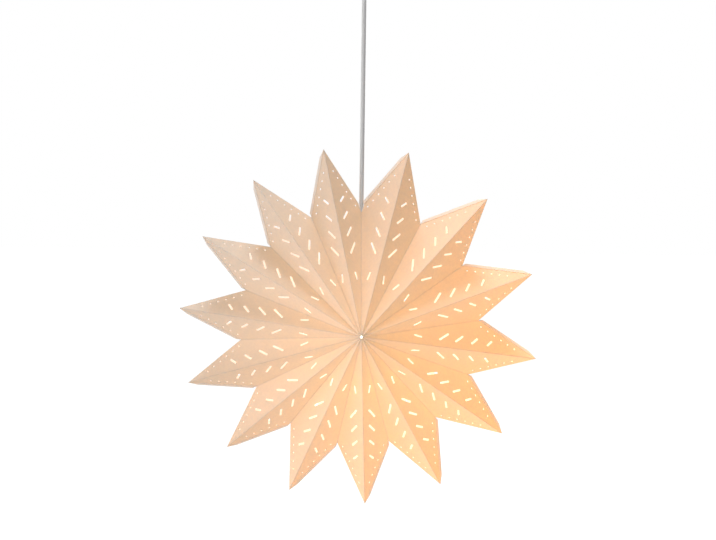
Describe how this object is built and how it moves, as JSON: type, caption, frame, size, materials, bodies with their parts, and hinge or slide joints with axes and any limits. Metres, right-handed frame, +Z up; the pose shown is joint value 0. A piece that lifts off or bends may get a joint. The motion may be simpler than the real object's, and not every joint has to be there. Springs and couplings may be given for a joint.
{
  "type": "paper advent star",
  "caption": "Lit pendant star of folded and punched white card, with front and back pointed faces, hung on its cord from a ceiling cup",
  "frame": {"origin": "middle of the ceiling cup's rim, on the ceiling", "axes": "+Z up to the ceiling, -Y towards the viewer of the star's front, +X to that viewer's right"},
  "size_m": [0.4758, 0.1908, 0.7399],
  "materials": {
    "card": "thin white card, matt, that lets lamplight through",
    "white_plastic": "white moulded plastic, satin",
    "core_plastic": "cream heat-proof moulding, matt",
    "cord_sheath": "pale grey flexible sheath, smooth",
    "steel": "zinc-plated steel",
    "nickel": "nickel-plated sheet, thin",
    "contact_brass": "sprung brass",
    "lit_bulb": "frosted globe, lit warm white"
  },
  "bodies": {
    "root": {"point_01": "card", "point_02": "card", "point_03": "card", "point_04": "card", "point_05": "card", "point_06": "card", "point_07": "card", "point_08": "card", "point_09": "card", "point_10": "card", "point_11": "card", "point_12": "card", "point_13": "card", "point_14": "card", "seam_clips": "white_plastic", "shade_carrier": "white_plastic", "carrier_screw": "steel", "cord": "cord_sheath", "holder_cord_grip": "white_plastic", "holder_cap": "white_plastic", "holder_skirt": "white_plastic", "holder_core": "core_plastic", "screw_shell": "nickel", "centre_contact": "contact_brass", "bulb": "lit_bulb", "ceiling_cup": "white_plastic", "cup_cord_grip": "white_plastic", "cup_nut": "white_plastic", "cup_grip_screw": "steel", "mounting_bar": "steel", "cup_screws": "steel", "terminal_block": "core_plastic"}
  },
  "joints": []
}
